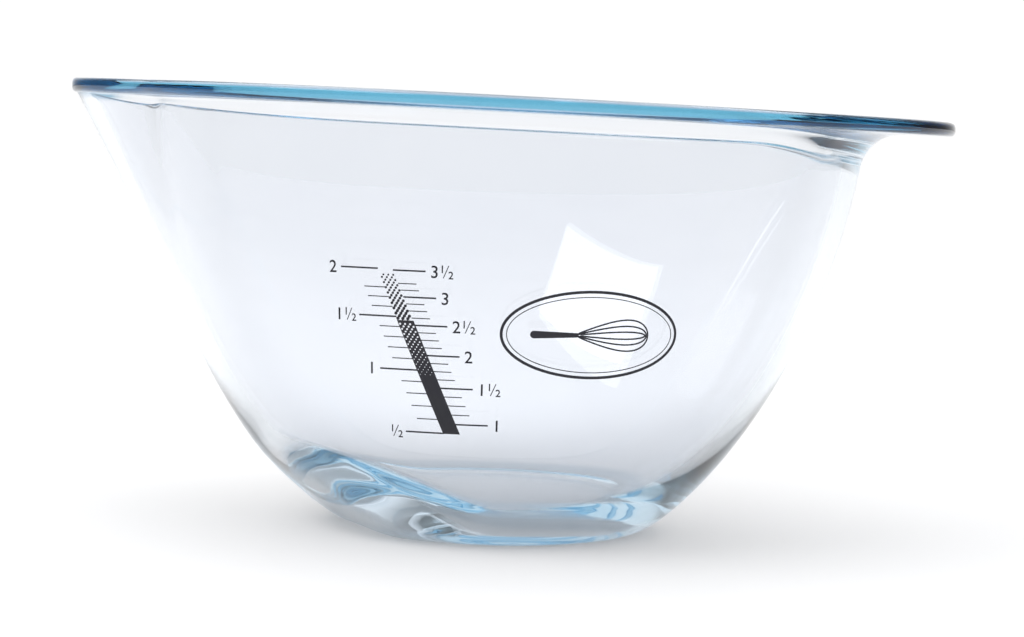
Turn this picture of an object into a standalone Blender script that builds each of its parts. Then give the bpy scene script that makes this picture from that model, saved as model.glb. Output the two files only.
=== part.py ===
"""Pressed glass mixing bowl with a pouring spout, a handle lip and a second, tilted resting face.

+Z is up, the origin is the centre of the round foot, the spout points to -X and the handle to +X.
The glass is one piece. The printed scale and emblem are thin enamel pieces just clear of the -Y wall.
"""

import math

import bmesh
import bpy
import numpy as np
from mathutils import Vector

MM = 0.001

# The round body: its outer wall is a superellipse turned about the Z axis.
WALL_INSET = 25.8 * MM
WALL_HALF_WIDTH = 99.4 * MM
WALL_HALF_HEIGHT = 161.8 * MM
WALL_CENTRE_Z = 150.5 * MM
WALL_POWER = 1.7
FOOT_RADIUS = 49 * MM
FOOT_CORNER_HEIGHT = 6 * MM

# The hollow, a second superellipse standing on a flat floor.
FLOOR_THICKNESS = 8 * MM
FLOOR_RADIUS = 40 * MM
WALL_THICKNESS = 6 * MM
HOLLOW_POWER = 1.7
LIP_RADIUS = 5 * MM

# The rim flange, whose top lies in one slightly slanted plane.
RIM_HEIGHT = 146.4 * MM
RIM_SLOPE = 0.0195
RIM_THICKNESS = 4.8 * MM
RIM_SIDE_RADIUS = 133.5 * MM
SPOUT_TIP_RADIUS = 146.5 * MM
HANDLE_TIP_RADIUS = 155 * MM
SPOUT_SHOULDER_DIP = 4 * MM
SPOUT_SHOULDER_ANGLE = 75
SPOUT_TIP_ANGLE = 30
HANDLE_ANGLE = 52
SIDE_FILLET = 8 * MM
HANDLE_FILLET_GAIN = 6.5 * MM
SPOUT_FILLET_LOSS = 3 * MM
HANDLE_FILLET_ANGLE = 80
SPOUT_FILLET_ANGLE = 90

# The spout pushes the wall out towards -X, from nothing half way up to its full reach at the rim.
SPOUT_REACH = 20.2 * MM
SPOUT_START_Z = 70 * MM
SPOUT_FULL_Z = 145 * MM
SPOUT_RISE_POWER = 1.8
SPOUT_HALF_ANGLE = 27

# The tilted resting face, low on the -X side and turned a little towards -Y. Angles are in degrees.
TILT_CENTRE_Z = 112 * MM
TILT_FACE_TOP_Z = 95 * MM
OUTER_FACE_TURN = 25
OUTER_FACE_TILT = 38
OUTER_FACE_DISTANCE = 47 * MM
OUTER_FACE_BLEND = 1 * MM
INNER_FACE_TURN = 40
INNER_FACE_TILT = 26
INNER_FACE_DISTANCE = 14 * MM
INNER_FACE_BLEND = 6 * MM
LEAST_FACING = 0.05

# Sections of the loft, and the points along each stretch of one section.
SECTIONS = 76
WALL_STEPS = 13
HOLLOW_STEPS = 12
STEP_GROWTH = 1.5
CORNER_STEPS = 3
FILLET_STEPS = 4
EDGE_STEPS = 4
EDGE_SQUARENESS = 0.8
FOOT_RINGS = (0.4, 0.8, 1.0)
FLOOR_RINGS = (0.75, 0.4)
LEAST_LEDGE = 0.5 * MM
SHARP_ANGLE = 40

# The enamel print, laid out as arc length from the -Y line and height above the foot.
PRINT_GAP = 0.3 * MM
PRINT_THICKNESS = 0.25 * MM
PRINT_CELL = 6.1 * MM
PRINT_WELD = 0.002 * MM
SLOPE_STEP = 0.5 * MM
SCALE_BASE_Z = 3.2 * MM
SCALE_FACTOR = 58.1 * MM
SCALE_POWER = 0.626
LITRES_PER_PINT = 0.568
BAND_TOP_Z = 92 * MM
BAND_LOW_Z = 41 * MM
BAND_TOP_LEFT = -35.7 * MM
BAND_LOW_LEFT = -14.4 * MM
BAND_WIDTH = 5.3 * MM
MAIN_TICK_HEIGHT = 0.5 * MM
MINOR_TICK_HEIGHT = 0.3 * MM
LITRE_TICK = 12 * MM
LITRE_MINOR_TICK = 6.5 * MM
PINT_TICK = 10 * MM
PINT_MINOR_TICK = 5.5 * MM
NUMERAL_SIZE = 5.4 * MM
NUMERAL_DROP = 1.9 * MM
NUMERAL_GAP = 2.2 * MM

# Proportions of a numeral and of a half, as parts of the numeral's size or of the half's width.
DIGIT_WIDTH = 0.62
FRACTION_WIDTH = 0.75
FRACTION_SIZE = 0.62
FRACTION_RISE = 0.3
FRACTION_DROP = 0.04
OVER_PLACE = 0.17
UNDER_PLACE = 0.83
SLASH_PLACE = 0.42
SLASH_LEAN = 0.2
SLASH_HEIGHT = 0.72
SLASH_THICKNESS = 0.3 * MM

# The emblem: an oval frame of two lines, given as (inset, thickness), round a whisk.
EMBLEM_ARC = 31.5 * MM
EMBLEM_Z = 74 * MM
EMBLEM_HALF_WIDTH = 29.5 * MM
EMBLEM_HALF_HEIGHT = 14.6 * MM
EMBLEM_LINES = {"emblem_frame": (0.0, 0.9 * MM), "emblem_inner_line": (1.9 * MM, 0.3 * MM)}
EMBLEM_POINTS = 44
WHISK_HANDLE_END = -19 * MM
WHISK_HANDLE_NECK = -4.5 * MM
WHISK_HANDLE_END_HALF = 1 * MM
WHISK_HANDLE_NECK_HALF = 0.7 * MM
WHISK_LOOPS = {"whisk_outer_loop": (11.5 * MM, 6.4 * MM), "whisk_inner_loop": (10.4 * MM, 2.8 * MM)}
WHISK_LOOP_CENTRE = 7.5 * MM
WHISK_WIRE = 0.6 * MM
WHISK_LOOP_POINTS = 36

GLASS_COLOUR = (0.86, 0.93, 0.97)
GLASS_ROUGHNESS = 0.02
ENAMEL_COLOUR = (0.012, 0.013, 0.03)
ENAMEL_ROUGHNESS = 0.35

MAIN_COLLECTION = "mixing_bowl"


def clear_scene():
    """Remove every object of the start-up scene."""
    for obj in list(bpy.data.objects):
        bpy.data.objects.remove(obj, do_unlink=True)


def material(name, colour, roughness, transmission=0.0):
    """A Principled material in the part's own colour."""
    made = bpy.data.materials.new(name)
    made.use_nodes = True
    shader = made.node_tree.nodes["Principled BSDF"]
    shader.inputs["Base Color"].default_value = (*colour, 1.0)
    shader.inputs["Roughness"].default_value = roughness
    shader.inputs["Metallic"].default_value = 0.0
    shader.inputs["Transmission Weight"].default_value = transmission
    return made


def add_object(name, mesh, made_of):
    """Link a mesh as one named object of the bowl's collection."""
    obj = bpy.data.objects.new(name, mesh)
    bpy.data.collections[MAIN_COLLECTION].objects.link(obj)
    mesh.materials.clear()
    mesh.materials.append(made_of)
    return obj


def superellipse_radius(z, inset, half_width, centre_z, half_height, power):
    """Radius of an upright superellipse at height z, measured from the Z axis."""
    left = 1 - abs((z - centre_z) / half_height) ** power
    return inset + half_width * max(left, 0.0) ** (1 / power)


def wall_radius(z):
    """Radius of the turned outer wall at height z."""
    return superellipse_radius(z, WALL_INSET, WALL_HALF_WIDTH, WALL_CENTRE_Z, WALL_HALF_HEIGHT, WALL_POWER)


def hollow_radius(z):
    """Radius of the turned hollow at height z."""
    top = WALL_INSET + WALL_HALF_WIDTH - WALL_THICKNESS
    depth = WALL_CENTRE_Z - FLOOR_THICKNESS
    return superellipse_radius(z, FLOOR_RADIUS, top - FLOOR_RADIUS, WALL_CENTRE_Z, depth, HOLLOW_POWER)


def bell(angle, half_angle):
    """A smooth bump: 1 at zero, 0 from half_angle on."""
    part = min(abs(angle) / half_angle, 1.0)
    return 0.5 * (1 + math.cos(math.pi * part))


def from_handle(azimuth):
    """Degrees between this azimuth and the handle at +X."""
    return abs((math.degrees(azimuth) + 180) % 360 - 180)


def from_spout(azimuth):
    """Degrees between this azimuth and the spout at -X."""
    return 180 - from_handle(azimuth)


def spout_push(z, azimuth):
    """How far the spout pushes the wall out at this height and azimuth."""
    rise = max((z - SPOUT_START_Z) / (SPOUT_FULL_Z - SPOUT_START_Z), 0.0)
    return SPOUT_REACH * rise**SPOUT_RISE_POWER * bell(from_spout(azimuth), SPOUT_HALF_ANGLE)


def rim_radius(azimuth):
    """Outer radius of the flange: round at the sides, drawn out at the handle and at the spout."""
    spout = from_spout(azimuth)
    radius = RIM_SIDE_RADIUS - SPOUT_SHOULDER_DIP * bell(spout, SPOUT_SHOULDER_ANGLE)
    radius += (HANDLE_TIP_RADIUS - RIM_SIDE_RADIUS) * bell(from_handle(azimuth), HANDLE_ANGLE)
    tip_gain = SPOUT_TIP_RADIUS - RIM_SIDE_RADIUS + SPOUT_SHOULDER_DIP
    return radius + tip_gain * bell(spout, SPOUT_TIP_ANGLE)


def under_rim_fillet(azimuth):
    """Fillet between the wall and the underside of the flange."""
    gain = HANDLE_FILLET_GAIN * bell(from_handle(azimuth), HANDLE_FILLET_ANGLE)
    return SIDE_FILLET + gain - SPOUT_FILLET_LOSS * bell(from_spout(azimuth), SPOUT_FILLET_ANGLE)


def curve_through(start, corner, end, steps):
    """Points of a round corner, leaving out its start."""
    found = []
    for step in range(1, steps + 1):
        t = step / steps
        weights = ((1 - t) ** 2, 2 * t * (1 - t), t**2)
        found.append(tuple(sum(w * p[i] for w, p in zip(weights, (start, corner, end))) for i in (0, 1)))
    return found


def in_rim_plane(points, tip, azimuth):
    """Lift points of the flange to follow the rim's slanted plane inwards from its tip."""
    return [(radius, z + RIM_SLOPE * (tip - radius) * math.cos(azimuth)) for radius, z in points]


def outer_section(azimuth):
    """Radius and height from the foot, up the outer wall and round the flange to its top."""

    def wall(z):
        return wall_radius(z) + spout_push(z, azimuth)

    tip = rim_radius(azimuth)
    top = RIM_HEIGHT - RIM_SLOPE * tip * math.cos(azimuth)
    under = top - RIM_THICKNESS
    edge = RIM_THICKNESS / 2
    room = tip - wall(under)
    fillet = max(min(under_rim_fillet(azimuth), room - edge - LEAST_LEDGE), LEAST_LEDGE)
    edge_width = min(edge, room - fillet)
    points = [(FOOT_RADIUS * part, 0.0) for part in FOOT_RINGS]
    corner_end = (wall(FOOT_CORNER_HEIGHT), FOOT_CORNER_HEIGHT)
    points += curve_through((FOOT_RADIUS, 0.0), (wall_radius(0.0), 0.0), corner_end, CORNER_STEPS)
    wall_end = under - fillet
    for step in range(1, WALL_STEPS + 1):
        z = FOOT_CORNER_HEIGHT + (wall_end - FOOT_CORNER_HEIGHT) * (step / WALL_STEPS) ** STEP_GROWTH
        points.append((wall(z), z))
    fillet_end = (wall(under) + fillet, under)
    flange = curve_through((wall(wall_end), wall_end), (wall(under), under), fillet_end, FILLET_STEPS)
    for step in range(EDGE_STEPS + 1):
        turn = math.radians(-90 + 180 * step / EDGE_STEPS)
        across = max(math.cos(turn), 0.0) ** EDGE_SQUARENESS
        rise = math.copysign(abs(math.sin(turn)) ** EDGE_SQUARENESS, turn)
        flange.append((tip - edge_width + edge_width * across, under + edge + edge * rise))
    return points + in_rim_plane(flange, tip, azimuth)


def inner_section(azimuth):
    """Radius and height from the flange's top, over the lip and down the hollow to the floor."""

    def hollow(z):
        return hollow_radius(z) + spout_push(z, azimuth)

    tip = rim_radius(azimuth)
    top = RIM_HEIGHT - RIM_SLOPE * tip * math.cos(azimuth)
    lip = min(hollow(top) + LIP_RADIUS, tip - RIM_THICKNESS / 2 - LEAST_LEDGE)
    low = top - LIP_RADIUS
    rounded = curve_through((lip, top), (hollow(top), top), (hollow(low), low), CORNER_STEPS)
    points = in_rim_plane([(lip, top)] + rounded, tip, azimuth)
    for step in range(1, HOLLOW_STEPS + 1):
        z = FLOOR_THICKNESS + (low - FLOOR_THICKNESS) * (1 - step / HOLLOW_STEPS) ** STEP_GROWTH
        points.append((hollow(z), z))
    return points + [(FLOOR_RADIUS * part, FLOOR_THICKNESS) for part in FLOOR_RINGS]


def resting_plane(turn, tilt, distance):
    """Outward normal of a tilted face, and its distance from the centre of the cut along that normal.

    turn is measured from -X towards -Y, and distance is the face's distance from the axis at z = 0.
    """
    turn, tilt = math.radians(turn), math.radians(tilt)
    aside = Vector((-math.cos(turn), -math.sin(turn), 0))
    normal = aside * math.sin(tilt) - Vector((0, 0, math.cos(tilt)))
    return normal, normal.dot(aside * distance - Vector((0, 0, TILT_CENTRE_Z)))


def flatten(point, plane, blend):
    """Draw a point in to the plane, along its line to the centre of the cut, with a smooth edge."""
    centre = Vector((0, 0, TILT_CENTRE_Z))
    normal, reach = plane
    away = point - centre
    facing = normal.dot(away.normalized())
    if point.z > TILT_FACE_TOP_Z or facing <= LEAST_FACING:
        return point
    far, flat = away.length, reach / facing
    overlap = max(blend - abs(far - flat), 0.0) / blend
    return centre + away.normalized() * (min(far, flat) - overlap**2 * blend / 4)


def loft_bowl():
    """One closed mesh lofted through the sections, whose shape changes from azimuth to azimuth."""
    outer_plane = resting_plane(OUTER_FACE_TURN, OUTER_FACE_TILT, OUTER_FACE_DISTANCE)
    inner_plane = resting_plane(INNER_FACE_TURN, INNER_FACE_TILT, INNER_FACE_DISTANCE)
    work = bmesh.new()
    rows = []
    for section in range(SECTIONS):
        azimuth = 2 * math.pi * section / SECTIONS
        row = []
        stretches = (
            (outer_section, outer_plane, OUTER_FACE_BLEND),
            (inner_section, inner_plane, INNER_FACE_BLEND),
        )
        for outline, plane, blend in stretches:
            for radius, z in outline(azimuth):
                point = Vector((radius * math.cos(azimuth), radius * math.sin(azimuth), z))
                row.append(work.verts.new(flatten(point, plane, blend)))
        rows.append(row)
    foot_centre = work.verts.new((0, 0, 0))
    floor_centre = work.verts.new(flatten(Vector((0, 0, FLOOR_THICKNESS)), inner_plane, INNER_FACE_BLEND))
    for section in range(SECTIONS):
        this, following = rows[section], rows[(section + 1) % SECTIONS]
        work.faces.new((foot_centre, following[0], this[0]))
        work.faces.new((floor_centre, this[-1], following[-1]))
        for low in range(len(this) - 1):
            work.faces.new((this[low], following[low], following[low + 1], this[low + 1]))
    mesh = bpy.data.meshes.new("glass_bowl")
    work.to_mesh(mesh)
    work.free()
    mesh.shade_smooth()
    mesh.set_sharp_from_angle(angle=math.radians(SHARP_ANGLE))
    return mesh


def on_wall(arc, z):
    """Point and outward normal of the print's surface, at an arc length from the -Y line and a height."""
    radius = wall_radius(z)
    slope = (wall_radius(z + SLOPE_STEP) - wall_radius(z - SLOPE_STEP)) / (2 * SLOPE_STEP)
    turn = arc / radius
    outward = Vector((math.sin(turn), -math.cos(turn), -slope)).normalized()
    return Vector((radius * math.sin(turn), -radius * math.cos(turn), z)) + outward * PRINT_GAP, outward


def flat_outline(name, outlines):
    """A flat filled mesh inside the closed outlines, each a list of (arc, height) points."""
    curve = bpy.data.curves.new(name, "CURVE")
    curve.dimensions = "2D"
    curve.fill_mode = "BOTH"
    for outline in outlines:
        spline = curve.splines.new("POLY")
        spline.points.add(len(outline) - 1)
        for point, (arc, z) in zip(spline.points, outline):
            point.co = (arc, z, 0, 1)
        spline.use_cyclic_u = True
    return flat_mesh(name, curve)


def flat_glyph(name, text, size):
    """A flat filled mesh of one numeral, centred on its own width."""
    curve = bpy.data.curves.new(name, "FONT")
    curve.body = text
    curve.size = size
    curve.align_x = "CENTER"
    curve.resolution_u = 2
    return flat_mesh(name, curve)


def flat_mesh(name, curve):
    """The mesh that a flat filled curve evaluates to."""
    guide = bpy.data.objects.new(name + "_outline", curve)
    bpy.context.scene.collection.objects.link(guide)
    graph = bpy.context.evaluated_depsgraph_get()
    mesh = bpy.data.meshes.new_from_object(guide.evaluated_get(graph))
    mesh.name = name
    bpy.data.objects.remove(guide, do_unlink=True)
    return mesh


def print_on_wall(name, mesh, arc, z, enamel):
    """Bend a flat mesh round the wall at this place, and give it the enamel's thickness."""
    work = bmesh.new()
    work.from_mesh(mesh)
    bmesh.ops.remove_doubles(work, verts=work.verts, dist=PRINT_WELD)
    for axis in (0, 1):
        sides = [vert.co[axis] for vert in work.verts]
        normal = Vector((1 - axis, axis, 0))
        for cut in np.arange(min(sides) + PRINT_CELL, max(sides), PRINT_CELL):
            everything = list(work.verts) + list(work.edges) + list(work.faces)
            bmesh.ops.bisect_plane(work, geom=everything, plane_co=normal * float(cut), plane_no=normal)
    for vert in work.verts:
        vert.co = on_wall(arc + vert.co.x, z + vert.co.y)[0]
    bmesh.ops.recalc_face_normals(work, faces=work.faces)
    middle = on_wall(arc, z)[1]
    if sum(face.normal.dot(middle) for face in work.faces) < 0:
        bmesh.ops.reverse_faces(work, faces=work.faces)
    work.to_mesh(mesh)
    work.free()
    obj = add_object(name, mesh, enamel)
    thicken = obj.modifiers.new("enamel_thickness", "SOLIDIFY")
    thicken.thickness = PRINT_THICKNESS
    thicken.offset = 1
    return obj


def litre_height(litres):
    """Height of a volume's mark on the wall."""
    return SCALE_BASE_Z + SCALE_FACTOR * litres**SCALE_POWER


def band_left(z):
    """Arc position of the slanted band's left edge at height z."""
    part = (z - BAND_LOW_Z) / (BAND_TOP_Z - BAND_LOW_Z)
    return BAND_LOW_LEFT + (BAND_TOP_LEFT - BAND_LOW_LEFT) * part


def litre_ticks():
    """(height, length, thickness) of each litre tick, from the top down."""
    ticks = []
    for tenths in range(20, 4, -1):
        main = tenths % 5 == 0
        if tenths == 19:
            continue
        length = LITRE_TICK if main else LITRE_MINOR_TICK
        height = MAIN_TICK_HEIGHT if main else MINOR_TICK_HEIGHT
        ticks.append((litre_height(tenths / 10), length, height))
    return ticks


def pint_ticks():
    """(height, length, thickness) of each pint tick, from the top down."""
    ticks = []
    for eighths in range(28, 7, -1):
        main = eighths % 4 == 0
        if eighths == 27:
            continue
        length = PINT_TICK if main else PINT_MINOR_TICK
        height = MAIN_TICK_HEIGHT if main else MINOR_TICK_HEIGHT
        ticks.append((litre_height(eighths / 8 * LITRES_PER_PINT), length, height))
    return ticks


def comb_side(ticks, shift, direction):
    """Outline points down one side of the band, stepping out and back round each tick."""
    points = []
    for z, length, height in ticks:
        end = band_left(z) + shift + direction * length
        for edge, out in ((height / 2, False), (height / 2, True), (-height / 2, True), (-height / 2, False)):
            points.append((end if out else band_left(z + edge) + shift, z + edge))
    return points


def scale_outline():
    """The slanted band with its litre ticks on the left and its pint ticks on the right."""
    left = comb_side(litre_ticks(), 0.0, -1)
    right = comb_side(pint_ticks(), BAND_WIDTH, 1)
    low_right = (band_left(left[-1][1]) + BAND_WIDTH, left[-1][1])
    return left + [low_right] + right[::-1]


def ellipse(half_width, half_height, count, middle=0.0):
    """Points of an ellipse whose centre lies at this place along the first axis."""
    turns = [2 * math.pi * step / count for step in range(count)]
    return [(middle + half_width * math.cos(t), half_height * math.sin(t)) for t in turns]


def build_numerals(enamel):
    """The scale's numerals. Each stroke group that stands apart is its own enamel piece."""
    halves_by_side = {"litre": (4, 3, 2, 1), "pint": (7, 6, 5, 4, 3, 2)}
    for side, halves in halves_by_side.items():
        for count in halves:
            litres = count / 2 * (LITRES_PER_PINT if side == "pint" else 1)
            z = litre_height(litres)
            name = f"{side}_numeral_{count / 2:.1f}".replace(".", "_")
            whole, half = divmod(count, 2)
            digit_width = DIGIT_WIDTH * NUMERAL_SIZE
            fraction_width = FRACTION_WIDTH * NUMERAL_SIZE
            width = (digit_width if whole else 0) + (fraction_width if half else 0)
            if side == "litre":
                arc = band_left(z) - LITRE_TICK - NUMERAL_GAP / 2 - width
            else:
                arc = band_left(z) + BAND_WIDTH + PINT_TICK + NUMERAL_GAP / 2
            if whole:
                glyph = flat_glyph(name, str(whole), NUMERAL_SIZE)
                print_on_wall(name, glyph, arc + digit_width / 2, z - NUMERAL_DROP, enamel)
                arc += digit_width
            if half:
                build_fraction(name, arc, z - NUMERAL_DROP, fraction_width, enamel)


def build_fraction(name, arc, z, width, enamel):
    """A half, as a small one, a slash and a small two."""
    size = FRACTION_SIZE * NUMERAL_SIZE
    rise = FRACTION_RISE * NUMERAL_SIZE
    drop = FRACTION_DROP * NUMERAL_SIZE
    upper = flat_glyph(name + "_over", "1", size)
    print_on_wall(name + "_over", upper, arc + OVER_PLACE * width, z + rise, enamel)
    lower = flat_glyph(name + "_under", "2", size)
    print_on_wall(name + "_under", lower, arc + UNDER_PLACE * width, z - drop, enamel)
    lean = SLASH_LEAN * width
    tall = SLASH_HEIGHT * NUMERAL_SIZE
    slash = [(-lean, 0), (SLASH_THICKNESS - lean, 0), (SLASH_THICKNESS + lean, tall), (lean, tall)]
    stroke = flat_outline(name + "_slash", [slash])
    print_on_wall(name + "_slash", stroke, arc + SLASH_PLACE * width, z, enamel)


def build_emblem(enamel):
    """A plain oval frame round a whisk: two rings, a handle and two wire loops."""
    for name, (inset, thick) in EMBLEM_LINES.items():
        edges = (inset, inset + thick)
        outlines = [
            ellipse(EMBLEM_HALF_WIDTH - edge, EMBLEM_HALF_HEIGHT - edge, EMBLEM_POINTS) for edge in edges
        ]
        print_on_wall(name, flat_outline(name, outlines), EMBLEM_ARC, EMBLEM_Z, enamel)
    handle = [
        (WHISK_HANDLE_END, -WHISK_HANDLE_END_HALF),
        (WHISK_HANDLE_NECK, -WHISK_HANDLE_NECK_HALF),
        (WHISK_HANDLE_NECK, WHISK_HANDLE_NECK_HALF),
        (WHISK_HANDLE_END, WHISK_HANDLE_END_HALF),
    ]
    print_on_wall("whisk_handle", flat_outline("whisk_handle", [handle]), EMBLEM_ARC, EMBLEM_Z, enamel)
    for name, (half_width, half_height) in WHISK_LOOPS.items():
        outlines = [
            ellipse(half_width - edge, half_height - edge, WHISK_LOOP_POINTS, WHISK_LOOP_CENTRE)
            for edge in (0.0, WHISK_WIRE)
        ]
        print_on_wall(name, flat_outline(name, outlines), EMBLEM_ARC, EMBLEM_Z, enamel)


def main():
    """Build the bowl and its print."""
    clear_scene()
    bowl_parts = bpy.data.collections.new(MAIN_COLLECTION)
    bpy.context.scene.collection.children.link(bowl_parts)
    glass = material("clear_glass", GLASS_COLOUR, GLASS_ROUGHNESS, transmission=1.0)
    enamel = material("dark_enamel", ENAMEL_COLOUR, ENAMEL_ROUGHNESS)
    add_object("glass_bowl", loft_bowl(), glass)
    print_on_wall("scale_band", flat_outline("scale_band", [scale_outline()]), 0.0, 0.0, enamel)
    build_numerals(enamel)
    build_emblem(enamel)


main()
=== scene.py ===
"""Visual model of a pressed glass mixing bowl with its printed capacity scale.

The glass is one lofted piece whose two resting faces are pressed in by a Geometry Nodes rule. The enamel
print is laid out flat, as arc length along the wall and height above the foot, and is then bent round it.
"""

from __future__ import annotations

import logging
import math
from dataclasses import dataclass, field
from enum import Enum
from typing import Any, Iterable, Sequence

import bmesh
import bpy
import numpy as np
from mathutils import Matrix, Vector


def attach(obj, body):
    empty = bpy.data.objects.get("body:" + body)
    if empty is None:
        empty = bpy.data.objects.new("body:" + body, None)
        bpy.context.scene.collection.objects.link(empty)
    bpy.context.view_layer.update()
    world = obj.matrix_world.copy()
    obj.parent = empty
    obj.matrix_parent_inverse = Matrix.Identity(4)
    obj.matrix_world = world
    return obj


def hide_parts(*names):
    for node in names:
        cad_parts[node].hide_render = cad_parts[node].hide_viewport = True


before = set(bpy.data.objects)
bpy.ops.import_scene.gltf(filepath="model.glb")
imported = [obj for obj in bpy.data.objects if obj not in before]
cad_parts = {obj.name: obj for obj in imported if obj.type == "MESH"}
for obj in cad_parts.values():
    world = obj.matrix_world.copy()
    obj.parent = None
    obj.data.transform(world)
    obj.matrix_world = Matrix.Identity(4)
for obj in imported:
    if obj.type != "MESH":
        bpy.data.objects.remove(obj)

MM = 0.001
BODY = "root"
SLOPE_STEP = 0.5 * MM
ART_WELD = 0.002 * MM
LEAST_FACING = 0.05
SIDE_TOLERANCE = 0.1
WHITE = (1.0, 1.0, 1.0, 1.0)
Outline = list[tuple[float, float]]
log = logging.getLogger("mixing_bowl")


class Side(Enum):
    """Which skin of the glass a point belongs to."""

    OUTER = 0
    HOLLOW = 1


class Stamp(Enum):
    """The small shape that a print repeats."""

    DOT = "dot"
    BAR = "bar"


class TreeBuilder:
    """Adds nodes to a tree and joins them, for shader and geometry trees alike."""

    def __init__(self, tree: bpy.types.NodeTree) -> None:
        """Start on an empty or a fresh tree.

        Args:
            tree: The tree that the nodes go into.
        """
        self.tree = tree

    def add(self, kind: str, inputs: dict[Any, Any] | None = None, **settings: Any) -> bpy.types.Node:
        """Add one node.

        Args:
            kind: The node's type name.
            inputs: A value or an output socket for each input, by name or by number.
            **settings: The node's own properties.

        Returns:
            The new node.
        """
        node = self.tree.nodes.new(kind)
        for key, value in settings.items():
            setattr(node, key, value)
        for key, value in (inputs or {}).items():
            if isinstance(value, bpy.types.NodeSocket):
                self.tree.links.new(value, node.inputs[key])
            else:
                node.inputs[key].default_value = value
        return node

    def step(self, value: Any, edges: tuple[float, float]) -> bpy.types.NodeSocket:
        """Rise smoothly from 0 to 1 between two values.

        Args:
            value: The socket that is tested.
            edges: The values where the step starts and ends.

        Returns:
            The socket of the step.
        """
        inputs = {"Value": value, "From Min": edges[0], "From Max": edges[1]}
        made = self.add("ShaderNodeMapRange", inputs, interpolation_type="SMOOTHSTEP")
        return made.outputs["Result"]

    def math(self, operation: str, *values: Any) -> bpy.types.NodeSocket:
        """Add a Math node.

        Args:
            operation: The operation's name.
            *values: Its operands, numbers or sockets.

        Returns:
            The node's output.
        """
        kind = "ShaderNodeMath"
        return self.add(kind, dict(enumerate(values)), operation=operation).outputs[0]

    def vector(self, operation: str, *values: Any, output: str = "Vector") -> bpy.types.NodeSocket:
        """Add a Vector Math node.

        Args:
            operation: The operation's name.
            *values: Its operands, vectors or sockets.
            output: The output to return, Vector or Value.

        Returns:
            The node's output.
        """
        kind = "ShaderNodeVectorMath"
        return self.add(kind, dict(enumerate(values)), operation=operation).outputs[output]


def new_geometry_tree(name: str, sockets: Sequence[tuple[str, str, Any]]) -> bpy.types.NodeTree:
    """Make an empty Geometry Nodes tree with a geometry in and out.

    Args:
        name: The tree's name.
        sockets: Name, socket type and default value of each further input.

    Returns:
        The tree.
    """
    tree = bpy.data.node_groups.new(name, "GeometryNodeTree")
    tree.interface.new_socket("Geometry", in_out="INPUT", socket_type="NodeSocketGeometry")
    tree.interface.new_socket("Geometry", in_out="OUTPUT", socket_type="NodeSocketGeometry")
    for label, kind, value in sockets:
        socket = tree.interface.new_socket(label, in_out="INPUT", socket_type=kind)
        if value is not None:
            socket.default_value = value
    return tree


def add_nodes_modifier(obj: bpy.types.Object, tree: bpy.types.NodeTree, values: dict[str, Any]) -> None:
    """Put a Geometry Nodes tree on an object and set its inputs.

    Args:
        obj: The object that gets the modifier.
        tree: The tree to run.
        values: A value for each named input.
    """
    modifier = obj.modifiers.new(tree.name, "NODES")
    modifier.node_group = tree
    for item in tree.interface.items_tree:
        if item.item_type == "SOCKET" and item.in_out == "INPUT" and item.name in values:
            modifier[item.identifier] = values[item.name]


def link(name: str, data: bpy.types.ID) -> bpy.types.Object:
    """Make an object of this data and put it in the scene.

    Args:
        name: The object's name.
        data: Its mesh, curve or lamp.

    Returns:
        The object.
    """
    obj = bpy.data.objects.new(name, data)
    bpy.context.scene.collection.objects.link(obj)
    return obj


def evaluated_mesh(obj: bpy.types.Object, name: str) -> bpy.types.Mesh:
    """Turn an object into the plain mesh that it evaluates to, and remove the object.

    Args:
        obj: The object with its modifiers.
        name: The mesh's name.

    Returns:
        The mesh.
    """
    bpy.context.view_layer.update()
    graph = bpy.context.evaluated_depsgraph_get()
    mesh = bpy.data.meshes.new_from_object(obj.evaluated_get(graph))
    bpy.data.objects.remove(obj, do_unlink=True)
    mesh.name = name
    return mesh


def frozen(obj: bpy.types.Object, name: str) -> bpy.types.Object:
    """Replace an object by a plain one of this name, with no modifiers."""
    return link(name, evaluated_mesh(obj, name))


def ripple_group() -> bpy.types.NodeTree:
    """Make the shader group for the faint unevenness of a moulded or printed surface.

    Returns:
        A group with a height for a Bump node, and a mask of slow, broad patches.
    """
    group = bpy.data.node_groups.new("moulded_surface", "ShaderNodeTree")
    group.interface.new_socket("Vector", in_out="INPUT", socket_type="NodeSocketVector")
    for label, value in (("Ripple Scale", 20.0), ("Grain Scale", 900.0), ("Grain Share", 0.2)):
        group.interface.new_socket(label, in_out="INPUT", socket_type="NodeSocketFloat").default_value = value
    for label in ("Height", "Mask"):
        group.interface.new_socket(label, in_out="OUTPUT", socket_type="NodeSocketFloat")
    build = TreeBuilder(group)
    given = build.add("NodeGroupInput").outputs
    ripple = build.add(
        "ShaderNodeTexNoise", {"Vector": given["Vector"], "Scale": given["Ripple Scale"], "Detail": 2.0}
    )
    grain = build.add(
        "ShaderNodeTexNoise", {"Vector": given["Vector"], "Scale": given["Grain Scale"], "Detail": 3.0}
    )
    fine = build.math("MULTIPLY", grain.outputs["Fac"], given["Grain Share"])
    height = build.math("ADD", ripple.outputs["Fac"], fine)
    inputs = {"Value": ripple.outputs["Fac"], "From Min": 0.4, "From Max": 0.7}
    patches = build.add("ShaderNodeMapRange", inputs)
    build.add("NodeGroupOutput", {"Height": height, "Mask": patches.outputs["Result"]})
    return group


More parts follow.
